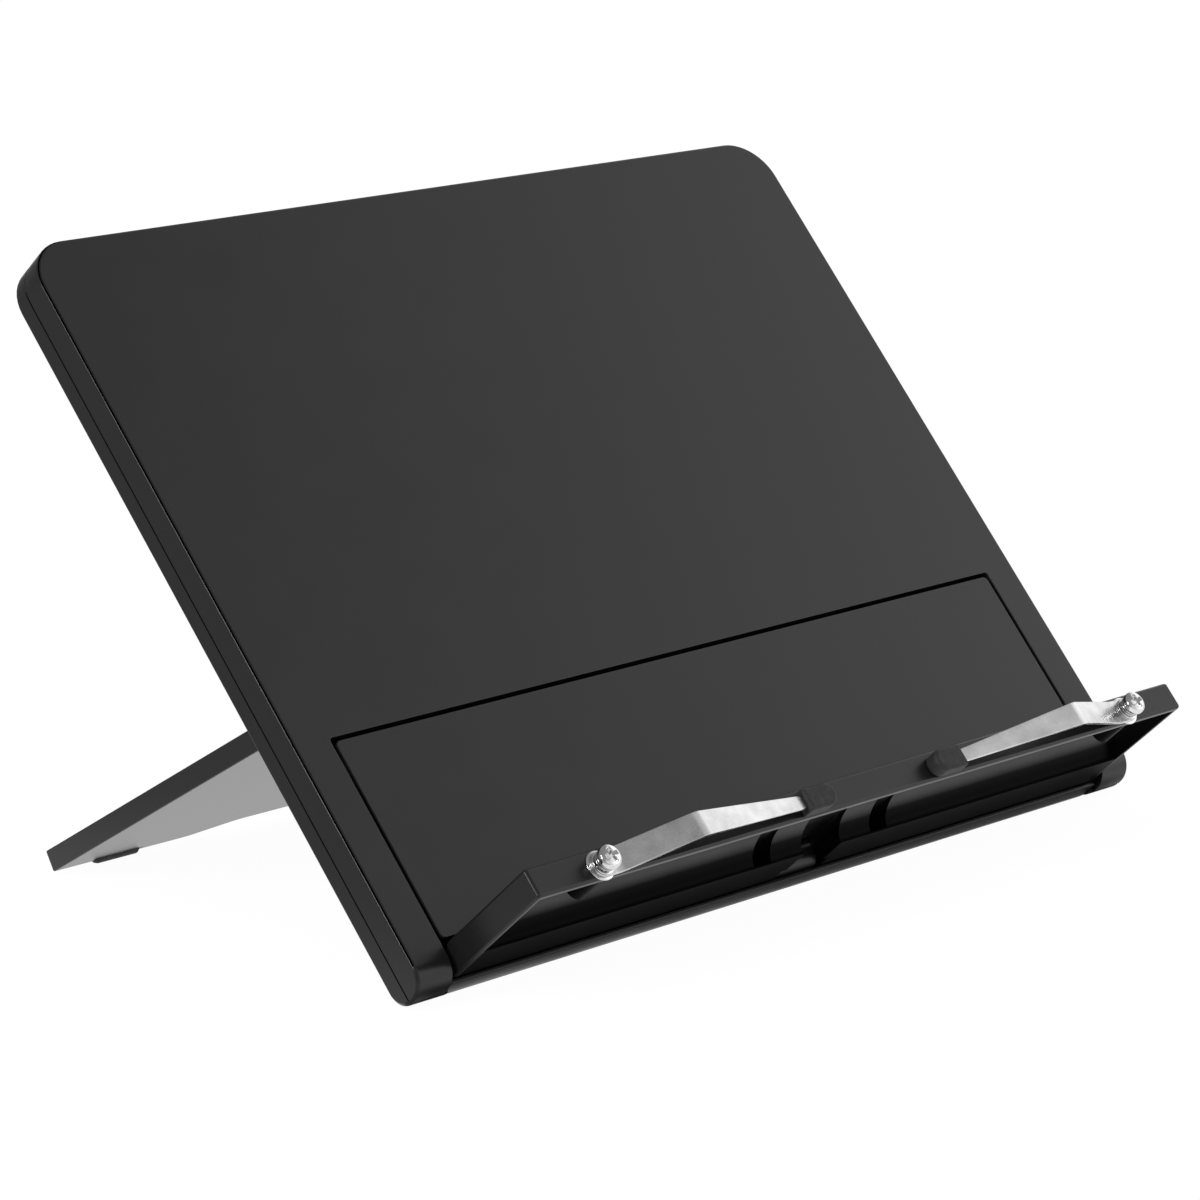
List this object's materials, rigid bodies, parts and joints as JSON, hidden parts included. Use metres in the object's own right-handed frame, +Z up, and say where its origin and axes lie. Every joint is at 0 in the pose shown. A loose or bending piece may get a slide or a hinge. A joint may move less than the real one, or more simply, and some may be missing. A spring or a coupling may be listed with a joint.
{
  "type": "book stand",
  "caption": "Folding reading stand: a tilted board with a fold-in page ledge, two sprung page arms and a rear leg that sets the tilt.",
  "frame": {"origin": "on the floor, under the middle of the overall box", "axes": "+X to the right across the board, +Y to the back, +Z up"},
  "size_m": [0.28, 0.197, 0.1744],
  "materials": {
    "black_abs_front": "fine matt moulded",
    "black_abs_back": "fine matt moulded",
    "black_abs_panel": "fine matt moulded",
    "black_abs_ledge": "fine matt moulded",
    "black_abs_leg": "satin moulded",
    "zinc_screw": "zinc plated",
    "steel_rod": "drawn",
    "nylon": "natural",
    "rubber_foot": "matt",
    "spring_steel": "bright",
    "chrome_screw": "nickel plated",
    "zinc_plated_arm": "zinc plated, light scuffs",
    "rubber_shoe": "matt"
  },
  "bodies": {
    "board": {"front_shell": "black_abs_front", "back_shell": "black_abs_back", "case_screws": "zinc_screw", "ledge_hinge_rod": "steel_rod", "leg_hinge_rod": "steel_rod", "leg_thrust_washers": "nylon", "front_foot_left": "rubber_foot", "front_foot_right": "rubber_foot", "lift_spring_left": "spring_steel", "lift_spring_right": "spring_steel"},
    "floor_panel": {"floor_panel": "black_abs_panel"},
    "ledge": {"ledge_shell": "black_abs_ledge", "arm_screw_left": "chrome_screw", "pivot_ring_left": "chrome_screw", "arm_spring_left": "spring_steel", "arm_screw_right": "chrome_screw", "pivot_ring_right": "chrome_screw", "arm_spring_right": "spring_steel"},
    "leg": {"leg_panel": "black_abs_leg", "leg_foot_left": "rubber_foot", "leg_foot_right": "rubber_foot"},
    "arm_collar_left": {"arm_washer_left": "chrome_screw"},
    "page_arm_left": {"page_arm_left": "zinc_plated_arm", "arm_tip_left": "rubber_shoe"},
    "arm_collar_right": {"arm_washer_right": "chrome_screw"},
    "page_arm_right": {"page_arm_right": "zinc_plated_arm", "arm_tip_right": "rubber_shoe"}
  },
  "joints": [
    {"name": "ledge_fold", "type": "hinge", "parent": "board", "child": "ledge", "pos_m": [0, -0.05567, 0.00816], "axis": [-1, 0, 0], "range_deg": [0, 90]},
    {"name": "panel_sink", "type": "slide", "parent": "board", "child": "floor_panel", "axis": [0, 0.7431, -0.6691], "range_m": [0, 0.0108], "deforming": ["lift_spring_left", "lift_spring_right"]},
    {"name": "leg_fold", "type": "hinge", "parent": "board", "child": "leg", "pos_m": [0, -0.0022, 0.06209], "axis": [1, 0, 0], "range_deg": [-39.33, 78.67]},
    {"name": "arm_left_lift", "type": "slide", "parent": "ledge", "child": "arm_collar_left", "axis": [0, -0.7431, 0.6691], "range_m": [0, 0.0008], "stiffness_N_per_m": 900, "springref_m": -0.002, "deforming": ["arm_spring_left"]},
    {"name": "arm_left_swing", "type": "hinge", "parent": "arm_collar_left", "child": "page_arm_left", "pos_m": [-0.1033, -0.08976, 0.03717], "axis": [0, 0.7431, -0.6691], "range_deg": [-100, 0]},
    {"name": "arm_right_lift", "type": "slide", "parent": "ledge", "child": "arm_collar_right", "axis": [0, -0.7431, 0.6691], "range_m": [0, 0.0008], "stiffness_N_per_m": 900, "springref_m": -0.002, "deforming": ["arm_spring_right"]},
    {"name": "arm_right_swing", "type": "hinge", "parent": "arm_collar_right", "child": "page_arm_right", "pos_m": [0.1033, -0.08976, 0.03717], "axis": [0, -0.7431, 0.6691], "range_deg": [-100, 0]}
  ],
  "couplings": [
    {"joint": "panel_sink", "follows": "ledge_fold", "m_per_rad": 0.0068118}
  ]
}
